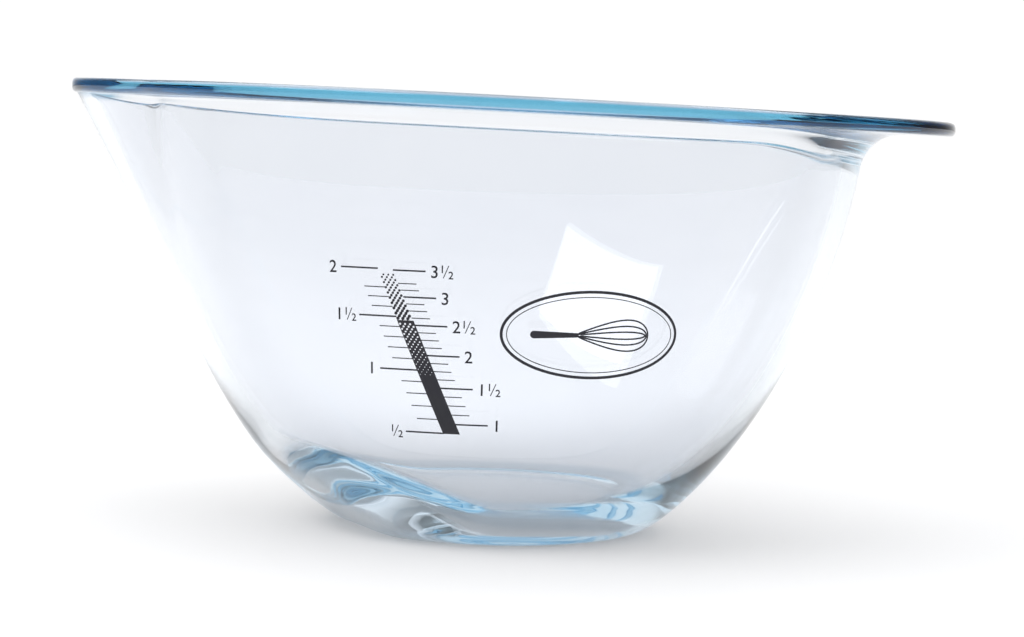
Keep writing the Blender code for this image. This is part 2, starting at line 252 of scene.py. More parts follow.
@dataclass(frozen=True)
class Finish:
    """A surface finish built on the Principled shader and the shared ripple group."""

    name: str
    colour: tuple[float, float, float]
    patch_colour: tuple[float, float, float]
    roughness: tuple[float, float]
    bump: float
    ripple_scale: float = 20.0
    grain_scale: float = 900.0
    grain_share: float = 0.2

    def material(self, ripple: bpy.types.NodeTree) -> bpy.types.Material:
        """Build the material.

        Args:
            ripple: The shared ripple group.

        Returns:
            The material.
        """
        made = bpy.data.materials.new(self.name)
        made.use_nodes = True
        build = TreeBuilder(made.node_tree)
        shader = made.node_tree.nodes["Principled BSDF"]
        place = build.add("ShaderNodeTexCoord").outputs["Object"]
        surface = build.add("ShaderNodeGroup", node_tree=ripple)
        made.node_tree.links.new(place, surface.inputs["Vector"])
        surface.inputs["Ripple Scale"].default_value = self.ripple_scale
        surface.inputs["Grain Scale"].default_value = self.grain_scale
        surface.inputs["Grain Share"].default_value = self.grain_share
        mask = surface.outputs["Mask"]
        colours = {"Factor": mask, 6: (*self.colour, 1.0), 7: (*self.patch_colour, 1.0)}
        colour = build.add("ShaderNodeMix", colours, data_type="RGBA").outputs[2]
        low, high = self.roughness
        rough = build.add("ShaderNodeMapRange", {"Value": mask, "To Min": low, "To Max": high})
        bump = build.add("ShaderNodeBump", {"Strength": self.bump, "Height": surface.outputs["Height"]})
        bump.inputs["Distance"].default_value = 0.1 * MM
        made.node_tree.links.new(colour, shader.inputs["Base Color"])
        made.node_tree.links.new(rough.outputs["Result"], shader.inputs["Roughness"])
        made.node_tree.links.new(bump.outputs["Normal"], shader.inputs["Normal"])
        self.finish_shader(build, shader)
        return made

    def finish_shader(self, build: TreeBuilder, shader: bpy.types.Node) -> None:
        """Set what only this kind of finish has. The plain finish has nothing more."""


@dataclass(frozen=True)
class ClearGlass(Finish):
    """Clear pressed glass with a blue cast, and a painted shade of deeper blue on the rim's flange and the
    foot's edge.
    """

    refraction: float = 1.473
    cast: tuple[float, float, float] = (0.03, 0.55, 0.8)
    cast_density: float = 4.0
    # Painted shade: deeper blue for the long path of light through the flange and the foot's edge.
    edge_cast: tuple[float, float, float] = (0.03, 0.27, 0.46)
    flat_share: float = 0.3
    level_to_upright: tuple[float, float] = (1.0, 0.3)
    rim_slope: float = 0.0195
    rim_under: tuple[float, float] = (139.0 * MM, 142.5 * MM)
    rim_inside: tuple[float, float] = (126 * MM, 131 * MM)
    foot_top: tuple[float, float] = (6.0 * MM, 2.0 * MM)
    foot_inside: tuple[float, float] = (43 * MM, 47 * MM)

    def edge_mask(self, build: TreeBuilder) -> bpy.types.NodeSocket:
        """Mask of the painted shade on the rim's flange and the foot's edge: deeper blue painted where light
        leaves the glass after a long way.

        Args:
            build: The material's tree builder.

        Returns:
            The mask's socket: 1 on their upright faces, less on their level ones and 0 on the wall.
        """
        place = build.add("ShaderNodeTexCoord").outputs["Object"]
        parts = build.add("ShaderNodeSeparateXYZ", {0: place}).outputs
        level = build.math("ADD", parts["Z"], build.math("MULTIPLY", parts["X"], self.rim_slope))
        across = build.math("MULTIPLY", parts["X"], parts["X"])
        along = build.math("MULTIPLY", parts["Y"], parts["Y"])
        radius = build.math("SQRT", build.math("ADD", across, along))
        rim = build.math("MULTIPLY", build.step(level, self.rim_under), build.step(radius, self.rim_inside))
        low = build.step(parts["Z"], self.foot_top)
        foot = build.math("MULTIPLY", low, build.step(radius, self.foot_inside))
        facing = build.add("ShaderNodeSeparateXYZ", {0: build.add("ShaderNodeTexCoord").outputs["Normal"]})
        upright = build.step(build.math("ABSOLUTE", facing.outputs["Z"]), self.level_to_upright)
        share = build.math("ADD", self.flat_share, build.math("MULTIPLY", upright, 1.0 - self.flat_share))
        return build.math("MULTIPLY", build.math("MAXIMUM", rim, foot), share)

    def finish_shader(self, build: TreeBuilder, shader: bpy.types.Node) -> None:
        """Make the shader glass, fill it with the blue cast, and paint the deeper blue shade of the long
        light paths into its colour.

        Args:
            build: The material's tree builder.
            shader: Its Principled shader.
        """
        shader.inputs["Transmission Weight"].default_value = 1.0
        shader.inputs["Metallic"].default_value = 0.0
        shader.inputs["IOR"].default_value = self.refraction
        # Painted shade: the base colour turns deeper blue on the flange and the foot's edge, in place of the
        # long light path through the glass.
        painted_shade_mix = {"Factor": self.edge_mask(build), 6: WHITE, 7: (*self.edge_cast, 1.0)}
        edge = build.add("ShaderNodeMix", painted_shade_mix, data_type="RGBA").outputs[2]
        plain = shader.inputs["Base Color"].links[0].from_socket
        both = {"Factor": 1.0, 6: plain, 7: edge}
        cast = build.add("ShaderNodeMix", both, data_type="RGBA", blend_type="MULTIPLY").outputs[2]
        build.tree.links.new(cast, shader.inputs["Base Color"])
        inside = build.add("ShaderNodeVolumeAbsorption")
        inside.inputs["Color"].default_value = (*self.cast, 1.0)
        inside.inputs["Density"].default_value = self.cast_density
        output = build.tree.nodes["Material Output"]
        build.tree.links.new(inside.outputs["Volume"], output.inputs["Volume"])


@dataclass(frozen=True)
class Superellipse:
    """An upright superellipse that is turned about the Z axis."""

    inset: float
    half_width: float
    centre_z: float
    half_height: float
    power: float

    def radius(self, z: Any) -> Any:
        """Radius at a height, or at each height of an array."""
        left = 1 - np.abs((z - self.centre_z) / self.half_height) ** self.power
        return self.inset + self.half_width * np.maximum(left, 0.0) ** (1 / self.power)


def bell(angle: float, half_angle: float) -> float:
    """A smooth bump of an angle: 1 at zero, and 0 from half_angle on."""
    return 0.5 * (1 + math.cos(math.pi * min(abs(angle) / half_angle, 1.0)))


@dataclass(frozen=True)
class BowlShape:
    """The sizes that both the glass and its print follow, in metres and degrees."""

    wall: Superellipse = Superellipse(25.8 * MM, 99.4 * MM, 150.5 * MM, 161.8 * MM, 1.7)
    hollow: Superellipse = Superellipse(40 * MM, 79.2 * MM, 150.5 * MM, 142.5 * MM, 1.7)
    foot_radius: float = 49 * MM
    foot_corner: float = 6 * MM
    floor_z: float = 8 * MM
    lip_radius: float = 5 * MM
    rim_height: float = 146.4 * MM
    rim_slope: float = 0.0195
    rim_thickness: float = 4.8 * MM
    rim_side: float = 133.5 * MM
    spout_tip: float = 146.5 * MM
    handle_tip: float = 155 * MM
    handle_angle: float = 52
    shoulder_dip: float = 4 * MM
    shoulder_angle: float = 75
    spout_tip_angle: float = 30
    side_fillet: float = 8 * MM
    handle_fillet_gain: float = 6.5 * MM
    handle_fillet_angle: float = 80
    spout_fillet_loss: float = 3 * MM
    spout_fillet_angle: float = 90
    spout_reach: float = 20.2 * MM
    spout_start: float = 70 * MM
    spout_full: float = 145 * MM
    spout_power: float = 1.8
    spout_half_angle: float = 27
    ledge: float = 0.5 * MM

    def push(self, z: Any, azimuth: float) -> Any:
        """How far the spout pushes the wall out at a height and an azimuth."""
        rise = np.maximum((z - self.spout_start) / (self.spout_full - self.spout_start), 0.0)
        return self.spout_reach * rise**self.spout_power * bell(from_spout(azimuth), self.spout_half_angle)

    def tip(self, azimuth: float) -> float:
        """Outer radius of the rim: round at the sides, drawn out at the handle and at the spout."""
        spout = from_spout(azimuth)
        gain = self.spout_tip - self.rim_side + self.shoulder_dip
        radius = self.rim_side - self.shoulder_dip * bell(spout, self.shoulder_angle)
        radius += gain * bell(spout, self.spout_tip_angle)
        return radius + (self.handle_tip - self.rim_side) * bell(180 - spout, self.handle_angle)

    def fillet(self, azimuth: float) -> float:
        """Fillet between the wall and the underside of the rim."""
        spout = from_spout(azimuth)
        gain = self.handle_fillet_gain * bell(180 - spout, self.handle_fillet_angle)
        return self.side_fillet + gain - self.spout_fillet_loss * bell(spout, self.spout_fillet_angle)

    def on_wall(self, arc: float, z: float, gap: float) -> Vector:
        """Bend a flat print point round the wall.

        Args:
            arc: Arc length from the middle of the printed side.
            z: Height above the foot.
            gap: How far the point stands off the glass.

        Returns:
            The point in the bowl's frame.
        """
        radius = float(self.wall.radius(z))
        rise = float(self.wall.radius(z + SLOPE_STEP) - self.wall.radius(z - SLOPE_STEP))
        slope = rise / (2 * SLOPE_STEP)
        turn = arc / radius
        outward = Vector((math.sin(turn), -math.cos(turn), -slope)).normalized()
        return Vector((radius * math.sin(turn), -radius * math.cos(turn), z)) + outward * gap


def from_spout(azimuth: float) -> float:
    """Degrees between an azimuth in radians and the spout at -X."""
    return 180 - abs((math.degrees(azimuth) + 180) % 360 - 180)


def rounded(start: Sequence[float], corner: Sequence[float], end: Sequence[float], steps: int) -> np.ndarray:
    """Points round a soft corner, leaving out its start.

    Args:
        start: Where the round leaves the first stretch.
        corner: Where the two stretches would meet.
        end: Where it joins the second stretch.
        steps: The number of points.

    Returns:
        An array of points.
    """
    t = np.linspace(0, 1, steps + 1)[1:, None]
    return (1 - t) ** 2 * np.array(start) + 2 * t * (1 - t) * np.array(corner) + t**2 * np.array(end)


@dataclass
class RestingFace:
    """A tilted flat pressed into one skin of the glass, so that the bowl can also lie on its side."""

    side: Side
    turn: float
    tilt: float
    distance: float
    blend: float
    top_z: float = 95 * MM
    centre_z: float = 112 * MM

    def normal(self) -> Vector:
        """The face's outward normal."""
        turn, tilt = math.radians(self.turn), math.radians(self.tilt)
        return Vector((-math.cos(turn) * math.sin(tilt), -math.sin(turn) * math.sin(tilt), -math.cos(tilt)))

    def reach(self) -> float:
        """The face's distance from the centre of the cut, along its normal."""
        turn = math.radians(self.turn)
        aside = Vector((-math.cos(turn), -math.sin(turn), 0)) * self.distance
        return self.normal().dot(aside - Vector((0, 0, self.centre_z)))

    def press(self, obj: bpy.types.Object, tree: bpy.types.NodeTree) -> None:
        """Add the pressing rule to the glass.

        Args:
            obj: The glass, whose points carry a hollow attribute.
            tree: The pressing rule.
        """
        values = {
            "Side": float(self.side.value),
            "Normal": tuple(self.normal()),
            "Reach": self.reach(),
            "Blend": self.blend,
            "Top": self.top_z,
            "Centre": (0.0, 0.0, self.centre_z),
        }
        add_nodes_modifier(obj, tree, values)


def pressing_tree(glass: bpy.types.Material) -> bpy.types.NodeTree:
    """Make the rule that draws points in to a plane, along their lines to a centre, with a soft edge.

    Args:
        glass: The material that the result gets.

    Returns:
        The Geometry Nodes tree.
    """
    sockets = [
        ("Side", "NodeSocketFloat", 0.0),
        ("Normal", "NodeSocketVector", (0.0, 0.0, -1.0)),
        ("Reach", "NodeSocketFloat", 0.1),
        ("Blend", "NodeSocketFloat", 4 * MM),
        ("Top", "NodeSocketFloat", 95 * MM),
        ("Centre", "NodeSocketVector", (0.0, 0.0, 0.1)),
    ]
    tree = new_geometry_tree("press_resting_face", sockets)
    build = TreeBuilder(tree)
    given = build.add("NodeGroupInput").outputs
    place = build.add("GeometryNodeInputPosition").outputs[0]
    away = build.vector("SUBTRACT", place, given["Centre"])
    far = build.vector("LENGTH", away, output="Value")
    line = build.vector("NORMALIZE", away)
    towards = build.vector("DOT_PRODUCT", line, given["Normal"], output="Value")
    facing = build.math("MAXIMUM", towards, LEAST_FACING)
    flat = build.math("DIVIDE", given["Reach"], facing)
    short = build.math("SMOOTH_MIN", far, flat, given["Blend"])
    drawn = build.add("ShaderNodeVectorMath", {0: line, "Scale": short}, operation="SCALE")
    moved = build.vector("ADD", given["Centre"], drawn.outputs["Vector"])
    hollow = build.add("GeometryNodeInputNamedAttribute", {"Name": "hollow"}, data_type="FLOAT").outputs[0]
    same = build.math("COMPARE", hollow, given["Side"], SIDE_TOLERANCE)
    level = build.add("ShaderNodeSeparateXYZ", {0: place}).outputs["Z"]
    below = build.math("LESS_THAN", level, given["Top"])
    chosen = build.math("MULTIPLY", same, below)
    pressed = build.add(
        "GeometryNodeSetPosition", {"Geometry": given["Geometry"], "Selection": chosen, "Position": moved}
    )
    solid = build.add("GeometryNodeRealizeInstances", {0: pressed.outputs[0]})
    dressed = build.add("GeometryNodeSetMaterial", {"Geometry": solid.outputs[0], "Material": glass})
    build.add("NodeGroupOutput", {0: dressed.outputs[0]})
    return tree


@dataclass
class GlassBowl:
    """The one piece of pressed glass: foot, wall, spout, rim flange, handle lip and hollow."""

    shape: BowlShape
    glass: bpy.types.Material
    sections: int = 256
    wall_steps: int = 60
    round_steps: int = 10
    edge_steps: int = 14
    foot_rings: int = 8
    edge_squareness: float = 0.8
    hollow_growth: float = 1.6
    faces: tuple[RestingFace, ...] = field(
        default_factory=lambda: (
            RestingFace(Side.OUTER, 25, 38, 47 * MM, 4 * MM),
            RestingFace(Side.HOLLOW, 40, 26, 14 * MM, 6 * MM),
        )
    )

    def outer_section(self, azimuth: float) -> np.ndarray:
        """Points from the foot, up the outer wall and round the rim flange to its top.

        Args:
            azimuth: The section's azimuth in radians.

        Returns:
            Radius and height of each point.
        """
        s = self.shape

        def wall(z: Any) -> Any:
            return s.wall.radius(z) + s.push(z, azimuth)

        tip = s.tip(azimuth)
        top = s.rim_height - s.rim_slope * tip * math.cos(azimuth)
        under = top - s.rim_thickness
        edge = s.rim_thickness / 2
        room = tip - wall(under)
        fillet = max(min(s.fillet(azimuth), room - edge - s.ledge), s.ledge)
        edge_width = min(edge, room - fillet)
        rings = np.linspace(0, s.foot_radius, self.foot_rings + 1)[1:]
        foot = np.stack([rings, np.zeros_like(rings)], 1)
        corner_end = (wall(s.foot_corner), s.foot_corner)
        corner = rounded((s.foot_radius, 0), (s.wall.radius(0.0), 0), corner_end, self.round_steps)
        z = np.linspace(s.foot_corner, under - fillet, self.wall_steps + 1)[1:]
        upright = np.stack([wall(z), z], 1)
        fillet_end = (wall(under) + fillet, under)
        hook = rounded(upright[-1], (wall(under), under), fillet_end, self.round_steps)
        turn = np.linspace(-math.pi / 2, math.pi / 2, self.edge_steps + 1)
        across = np.maximum(np.cos(turn), 0) ** self.edge_squareness
        rise = np.sign(turn) * np.abs(np.sin(turn)) ** self.edge_squareness
        nose = np.stack([tip - edge_width + edge_width * across, under + edge + edge * rise], 1)
        flange = self.in_rim_plane(np.vstack([hook, nose]), tip, azimuth)
        return np.vstack([foot, corner, upright, flange])

    def in_rim_plane(self, points: np.ndarray, tip: float, azimuth: float) -> np.ndarray:
        """Lift points of the flange to follow the rim's slanted plane inwards from its tip."""
        lift = self.shape.rim_slope * (tip - points[:, 0]) * math.cos(azimuth)
        return points + np.stack([np.zeros_like(lift), lift], 1)

    def inner_section(self, azimuth: float) -> np.ndarray:
        """Points from the flange's top, over the lip and down the hollow to the floor.

        Args:
            azimuth: The section's azimuth in radians.

        Returns:
            Radius and height of each point.
        """
        s = self.shape

        def hollow(z: Any) -> Any:
            return s.hollow.radius(z) + s.push(z, azimuth)

        tip = s.tip(azimuth)
        top = s.rim_height - s.rim_slope * tip * math.cos(azimuth)
        lip = min(hollow(top) + s.lip_radius, tip - s.rim_thickness / 2 - s.ledge)
        low = top - s.lip_radius
        bend = rounded((lip, top), (hollow(top), top), (hollow(low), low), self.round_steps)
        over = self.in_rim_plane(np.vstack([[(lip, top)], bend]), tip, azimuth)
        t = np.linspace(1, 0, self.wall_steps + 1)[1:] ** self.hollow_growth
        z = s.floor_z + (low - s.floor_z) * t
        down = np.stack([hollow(z), z], 1)
        rings = np.linspace(s.hollow.inset, 0, self.foot_rings + 1)[1:-1]
        floor = np.stack([rings, np.full_like(rings, s.floor_z)], 1)
        return np.vstack([over, down, floor])

    def loft(self) -> bpy.types.Object:
        """Join the sections into one closed skin.

        Returns:
            The glass before its resting faces are pressed in.
        """
        outer_count = len(self.outer_section(0.0))
        rows = []
        for section in range(self.sections):
            azimuth = 2 * math.pi * section / self.sections
            flat = np.vstack([self.outer_section(azimuth), self.inner_section(azimuth)])
            across, z = flat[:, 0], flat[:, 1]
            rows.append(np.stack([across * math.cos(azimuth), across * math.sin(azimuth), z], 1))
        count = len(rows[0])
        points = np.vstack(rows + [np.array([[0, 0, 0], [0, 0, self.shape.floor_z]])])
        foot_centre, floor_centre = len(points) - 2, len(points) - 1
        faces: list[tuple[int, ...]] = []
        for section in range(self.sections):
            this, following = section * count, (section + 1) % self.sections * count
            faces.append((foot_centre, following, this))
            faces.append((floor_centre, this + count - 1, following + count - 1))
            faces += [
                (this + low, following + low, following + low + 1, this + low + 1) for low in range(count - 1)
            ]
        mesh = bpy.data.meshes.new("glass_skin")
        mesh.from_pydata(points.tolist(), [], faces)
        hollow = np.tile(np.arange(count) >= outer_count, self.sections).astype(np.float32)
        marked = mesh.attributes.new("hollow", "FLOAT", "POINT")
        marked.data.foreach_set("value", np.append(hollow, (0.0, 1.0)).astype(np.float32))
        mesh.shade_smooth()
        return link("glass_skin", mesh)

    def build(self) -> bpy.types.Object:
        """Build the glass and dress it.

        Returns:
            The finished piece.
        """
        skin = self.loft()
        tree = pressing_tree(self.glass)
        for face in self.faces:
            face.press(skin, tree)
        piece = frozen(skin, "clear_bowl")
        piece.data.materials.clear()
        piece.data.materials.append(self.glass)
        piece.data.attributes.remove(piece.data.attributes["hollow"])
        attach(piece, BODY)
        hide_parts("glass_bowl")
        return piece


def flat_curve_mesh(name: str, outlines: Sequence[Outline]) -> bpy.types.Mesh:
    """Fill flat outlines.

    Args:
        name: The mesh's name.
        outlines: Closed outlines of (arc, height) points. One inside another is a hole.

    Returns:
        The flat mesh.
    """
    curve = bpy.data.curves.new(name, "CURVE")
    curve.dimensions = "2D"
    curve.fill_mode = "BOTH"
    for outline in outlines:
        spline = curve.splines.new("POLY")
        spline.points.add(len(outline) - 1)
        for point, (arc, z) in zip(spline.points, outline):
            point.co = (arc, z, 0, 1)
        spline.use_cyclic_u = True
    return evaluated_mesh(link(name, curve), name)


def ribbon(path: np.ndarray, width: float) -> list[Outline]:
    """The two outlines of an even line along a closed path."""
    ahead = np.roll(path, -1, 0) - np.roll(path, 1, 0)
    ahead /= np.linalg.norm(ahead, axis=1)[:, None]
    aside = np.stack([-ahead[:, 1], ahead[:, 0]], 1) * width / 2
    return [[tuple(p) for p in path + aside], [tuple(p) for p in path - aside]]


@dataclass
class PrintShop:
    """Turns flat artwork into thin enamel on the bowl's wall."""

    shape: BowlShape
    enamel: bpy.types.Material
    gap: float = 0.03 * MM
    thickness: float = 0.05 * MM
    cell: float = 2.0 * MM
    first_cell: float = 0.97

    def cut_to_cells(self, work: bmesh.types.BMesh) -> None:
        """Cut flat artwork along a grid, so that it can bend round the wall."""
        for axis in (0, 1):
            sides = [vert.co[axis] for vert in work.verts]
            normal = Vector((1 - axis, axis, 0))
            for cut in np.arange(min(sides) + self.cell * self.first_cell, max(sides), self.cell):
                everything = list(work.verts) + list(work.edges) + list(work.faces)
                bmesh.ops.bisect_plane(work, geom=everything, plane_co=normal * float(cut), plane_no=normal)

    def bend(self, work: bmesh.types.BMesh, arc: float, z: float, gap: float) -> None:
        """Move flat artwork on to the wall. Its own height above the flat adds to the gap."""
        for vert in work.verts:
            vert.co = self.shape.on_wall(arc + vert.co.x, z + vert.co.y, gap + vert.co.z)

    def lay_flat_art(self, name: str, art: Iterable[tuple[bpy.types.Mesh, float, float]]) -> bpy.types.Object:
        """Print flat filled shapes.

        Args:
            name: The piece's name.
            art: Each flat mesh with the arc length and height of its origin.

        Returns:
            One object that holds them all.
        """
        whole = bmesh.new()
        for mesh, arc, z in art:
            work = bmesh.new()
            work.from_mesh(mesh)
            bmesh.ops.remove_doubles(work, verts=work.verts, dist=ART_WELD)
            self.cut_to_cells(work)
            bmesh.ops.recalc_face_normals(work, faces=work.faces)
            if sum(face.normal.z for face in work.faces) < 0:
                bmesh.ops.reverse_faces(work, faces=work.faces)
            self.bend(work, arc, z, self.gap)
            bent = bpy.data.meshes.new("bent")
            work.to_mesh(bent)
            work.free()
            whole.from_mesh(bent)
            bpy.data.meshes.remove(bent)
        mesh = bpy.data.meshes.new(name)
        whole.to_mesh(mesh)
        whole.free()
        sheet = link(name + "_sheet", mesh)
        thicken = sheet.modifiers.new("enamel_thickness", "SOLIDIFY")
        thicken.thickness = self.thickness
        thicken.offset = 1
        return frozen(sheet, name)

    def lay_solid_art(self, name: str, obj: bpy.types.Object) -> bpy.types.Object:
        """Print closed flat-lying solids, which already have their thickness.

        Args:
            name: The piece's name.
            obj: The flat-lying solids.

        Returns:
            The bent piece.
        """
        work = bmesh.new()
        work.from_mesh(obj.data)
        self.bend(work, 0.0, 0.0, self.gap + self.thickness / 2)
        work.to_mesh(obj.data)
        work.free()
        obj.name = name
        return obj

    def finish(self, piece: bpy.types.Object, nodes: Sequence[str]) -> bpy.types.Object:
        """Dress a print, attach it to the bowl's body and hide the model's parts that it replaces."""
        piece.data.materials.clear()
        piece.data.materials.append(self.enamel)
        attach(piece, BODY)
        if nodes:
            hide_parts(*nodes)
        return piece


def stamping_tree(stamp: Stamp, enamel: bpy.types.Material) -> bpy.types.NodeTree:
    """Make the rule that stamps one small shape at each point, at the size that the point carries.

    Args:
        stamp: The shape to repeat.
        enamel: The material that the result gets.

    Returns:
        The Geometry Nodes tree.
    """
    sockets = [("Detail", "NodeSocketInt", 12), ("Thickness", "NodeSocketFloat", 0.05 * MM)]
    tree = new_geometry_tree("stamp_" + stamp.value, sockets)
    build = TreeBuilder(tree)
    given = build.add("NodeGroupInput").outputs
    if stamp is Stamp.DOT:
        inputs = {"Vertices": given["Detail"], "Radius": 1.0, "Depth": 1.0}
        shape = build.add("GeometryNodeMeshCylinder", inputs, fill_type="TRIANGLE_FAN").outputs["Mesh"]
    else:
        inputs = {"Size": (1.0, 1.0, 1.0), "Vertices X": given["Detail"], "Vertices Y": 2, "Vertices Z": 2}
        shape = build.add("GeometryNodeMeshCube", inputs).outputs["Mesh"]
    size = build.add("GeometryNodeInputNamedAttribute", {"Name": "size"}, data_type="FLOAT_VECTOR").outputs[0]
    spread = build.add("ShaderNodeSeparateXYZ", {0: size}).outputs
    stretch = {0: spread["X"], 1: spread["Y"], 2: given["Thickness"]}
    scale = build.add("ShaderNodeCombineXYZ", stretch).outputs[0]
    stamped = build.add(
        "GeometryNodeInstanceOnPoints", {"Points": given["Geometry"], "Instance": shape, "Scale": scale}
    )
    solid = build.add("GeometryNodeRealizeInstances", {0: stamped.outputs[0]})
    dressed = build.add("GeometryNodeSetMaterial", {"Geometry": solid.outputs[0], "Material": enamel})
    build.add("NodeGroupOutput", {0: dressed.outputs[0]})
    return tree


def stamp_points(
    name: str, tree: bpy.types.NodeTree, places: Outline, sizes: Outline, detail: int, thickness: float
) -> bpy.types.Object:
    """Stamp a shape at each place.

    Args:
        name: The name of the result.
        tree: The stamping rule.
        places: Arc length and height of each stamp's middle.
        sizes: Half-width or width, and height, of each stamp.
        detail: The number of sides of a dot, or of points along a bar.
        thickness: The stamps' thickness.

    Returns:
        The flat-lying solids as one plain object.
    """
    mesh = bpy.data.meshes.new(name + "_points")
    mesh.from_pydata([(arc, z, 0.0) for arc, z in places], [], [])
    attribute = mesh.attributes.new("size", "FLOAT_VECTOR", "POINT")
    for item, (across, high) in zip(attribute.data, sizes):
        item.vector = (across, high, 1.0)
    points = link(name + "_points", mesh)
    add_nodes_modifier(points, tree, {"Detail": detail, "Thickness": thickness})
    return frozen(points, name)


@dataclass(frozen=True)
class NumeralStyle:
    """The scale's numerals. Shares are of the size, and the last group's of a half's width."""

    size: float = 5.4 * MM
    weight: float = 0.035 * MM
    drop: float = 1.9 * MM
    gap: float = 1.1 * MM
    digit_width: float = 0.62
    half_width: float = 0.75
    small: float = 0.62
    small_rise: float = 0.3
    small_drop: float = 0.04
    slash_height: float = 0.72
    slash_thickness: float = 0.3 * MM
    over_place: float = 0.17
    under_place: float = 0.83
    slash_place: float = 0.42
    slash_lean: float = 0.2


@dataclass
class CapacityScale:
    """The slanted band with its gradient of dots, the litre and pint ticks, and their numerals."""

    shop: PrintShop
    base_z: float = 3.2 * MM
    factor: float = 58.1 * MM
    power: float = 0.626
    litres_per_pint: float = 0.568
    top_z: float = 92 * MM
    low_z: float = 40.7 * MM
    top_left: float = -35.7 * MM
    low_left: float = -14.3 * MM
    width: float = 5.3 * MM
    solid_below: float = 77 * MM
    holes_end: float = 60 * MM
    dot_pitch: float = 1.12 * MM
    litre_tick: tuple[float, float] = (12 * MM, 6.5 * MM)
    pint_tick: tuple[float, float] = (10 * MM, 5.5 * MM)
    tick_height: tuple[float, float] = (0.5 * MM, 0.3 * MM)
    tick_overlap: float = 0.3 * MM
    lattice_start: float = 0.35
    lattice_edge: float = 0.2
    dot_share: float = 0.50
    hole_share: float = 0.10
    share_change: float = 0.22
    style: NumeralStyle = NumeralStyle()

    def height(self, litres: float) -> float:
        """Height of a volume's mark on the wall."""
        return self.base_z + self.factor * litres**self.power

    def left(self, z: float) -> float:
        """Arc position of the band's left edge at a height."""
        part = (z - self.low_z) / (self.top_z - self.low_z)
        return self.low_left + (self.top_left - self.low_left) * part

    def dot_rows(self, low: float, high: float) -> Outline:
        """Places of a diagonal lattice of dots inside the band between two heights."""
        found: Outline = []
        rows = int((high - low) / (self.dot_pitch / math.sqrt(2)))
        across = self.dot_pitch * math.sqrt(2)
        for row in range(rows + 1):
            z = low + row * self.dot_pitch / math.sqrt(2)
            start = self.left(z) + (self.lattice_start + 0.5 * (row % 2)) * across
            columns = range(-1, int(self.width / across) + 2)
            arcs = (start + column * across for column in columns)
            edge = self.lattice_edge * self.dot_pitch
            found += [(arc, z) for arc in arcs if edge < arc - self.left(z) < self.width - edge]
        return found

    def dots(self, tree: bpy.types.NodeTree) -> bpy.types.Object:
        """Stamp the dark dots of the band's upper end, larger towards the solid part."""
        places = self.dot_rows(self.solid_below + 0.5 * self.dot_pitch, self.top_z - 0.3 * MM)
        span = self.top_z - self.solid_below
        shares = [self.dot_share - self.share_change * (z - self.solid_below) / span for _, z in places]
        radii = [self.dot_pitch * share for share in shares]
        return stamp_points("band_dots", tree, places, [(r, r) for r in radii], 12, self.shop.thickness)

    def band(self, tree: bpy.types.NodeTree) -> bpy.types.Object:
        """Build the solid band, with clear holes that shrink downwards from its upper end."""
        rows = np.linspace(self.low_z, self.solid_below, 24)
        outline = [(self.left(z), z) for z in rows] + [(self.left(z) + self.width, z) for z in rows[::-1]]
        strip = link("band_strip", flat_curve_mesh("band_strip", [outline]))
        thicken = strip.modifiers.new("enamel_thickness", "SOLIDIFY")
        thicken.thickness = self.shop.thickness
        thicken.offset = 0
        places = self.dot_rows(self.holes_end, self.solid_below - 0.4 * self.dot_pitch)
        span = self.solid_below - self.holes_end
        shares = [self.hole_share + self.share_change * (z - self.holes_end) / span for _, z in places]
        radii = [self.dot_pitch * share for share in shares]
        depth = 4 * self.shop.thickness
        cutters = stamp_points("band_holes", tree, places, [(r, r) for r in radii], 10, depth)
        cut = strip.modifiers.new("holes", "BOOLEAN")
        cut.operation = "DIFFERENCE"
        cut.object = cutters
        solid = frozen(strip, "band_solid")
        bpy.data.objects.remove(cutters, do_unlink=True)
        return solid

    def ticks(self) -> tuple[Outline, Outline]:
        """Places and sizes of the ticks on both sides of the band."""
        places: Outline = []
        sizes: Outline = []
        scales = (
            (1 / 10, range(5, 21), 5, 19, self.litre_tick, 0.0, -1, 1.0),
            (1 / 8, range(8, 29), 4, 27, self.pint_tick, self.width, 1, self.litres_per_pint),
        )
        for step, counts, main_every, unprinted, lengths, shift, direction, litres in scales:
            for count in counts:
                if count == unprinted:
                    continue
                z = self.height(count * step * litres)
                kind = 0 if count % main_every == 0 else 1
                length = lengths[kind] + self.tick_overlap
                out = direction * (length / 2 - self.tick_overlap)
                places.append((self.left(z) + shift + out, z))
                sizes.append((length, self.tick_height[kind]))
        return places, sizes

    def glyph(self, text: str, share: float = 1.0) -> bpy.types.Mesh:
        """A flat filled numeral, centred on its own width."""
        curve = bpy.data.curves.new("numeral_" + text, "FONT")
        curve.body = text
        curve.size = self.style.size * share
        curve.align_x = "CENTER"
        curve.resolution_u = 6
        curve.offset = self.style.weight
        return evaluated_mesh(link("numeral", curve), "numeral")

    def half_art(self, arc: float, base: float, width: float) -> list[tuple[bpy.types.Mesh, float, float]]:
        """A half, built up from a small one, a small two and a slash."""
        style = self.style
        over, under = base + style.small_rise * style.size, base - style.small_drop * style.size
        lean, thick = style.slash_lean * width, style.slash_thickness
        tall = style.slash_height * style.size
        slash = [(-lean, 0.0), (thick - lean, 0.0), (thick + lean, tall), (lean, tall)]
        return [
            (self.glyph("1", style.small), arc + style.over_place * width, over),
            (self.glyph("2", style.small), arc + style.under_place * width, under),
            (flat_curve_mesh("slash", [slash]), arc + style.slash_place * width, base),
        ]

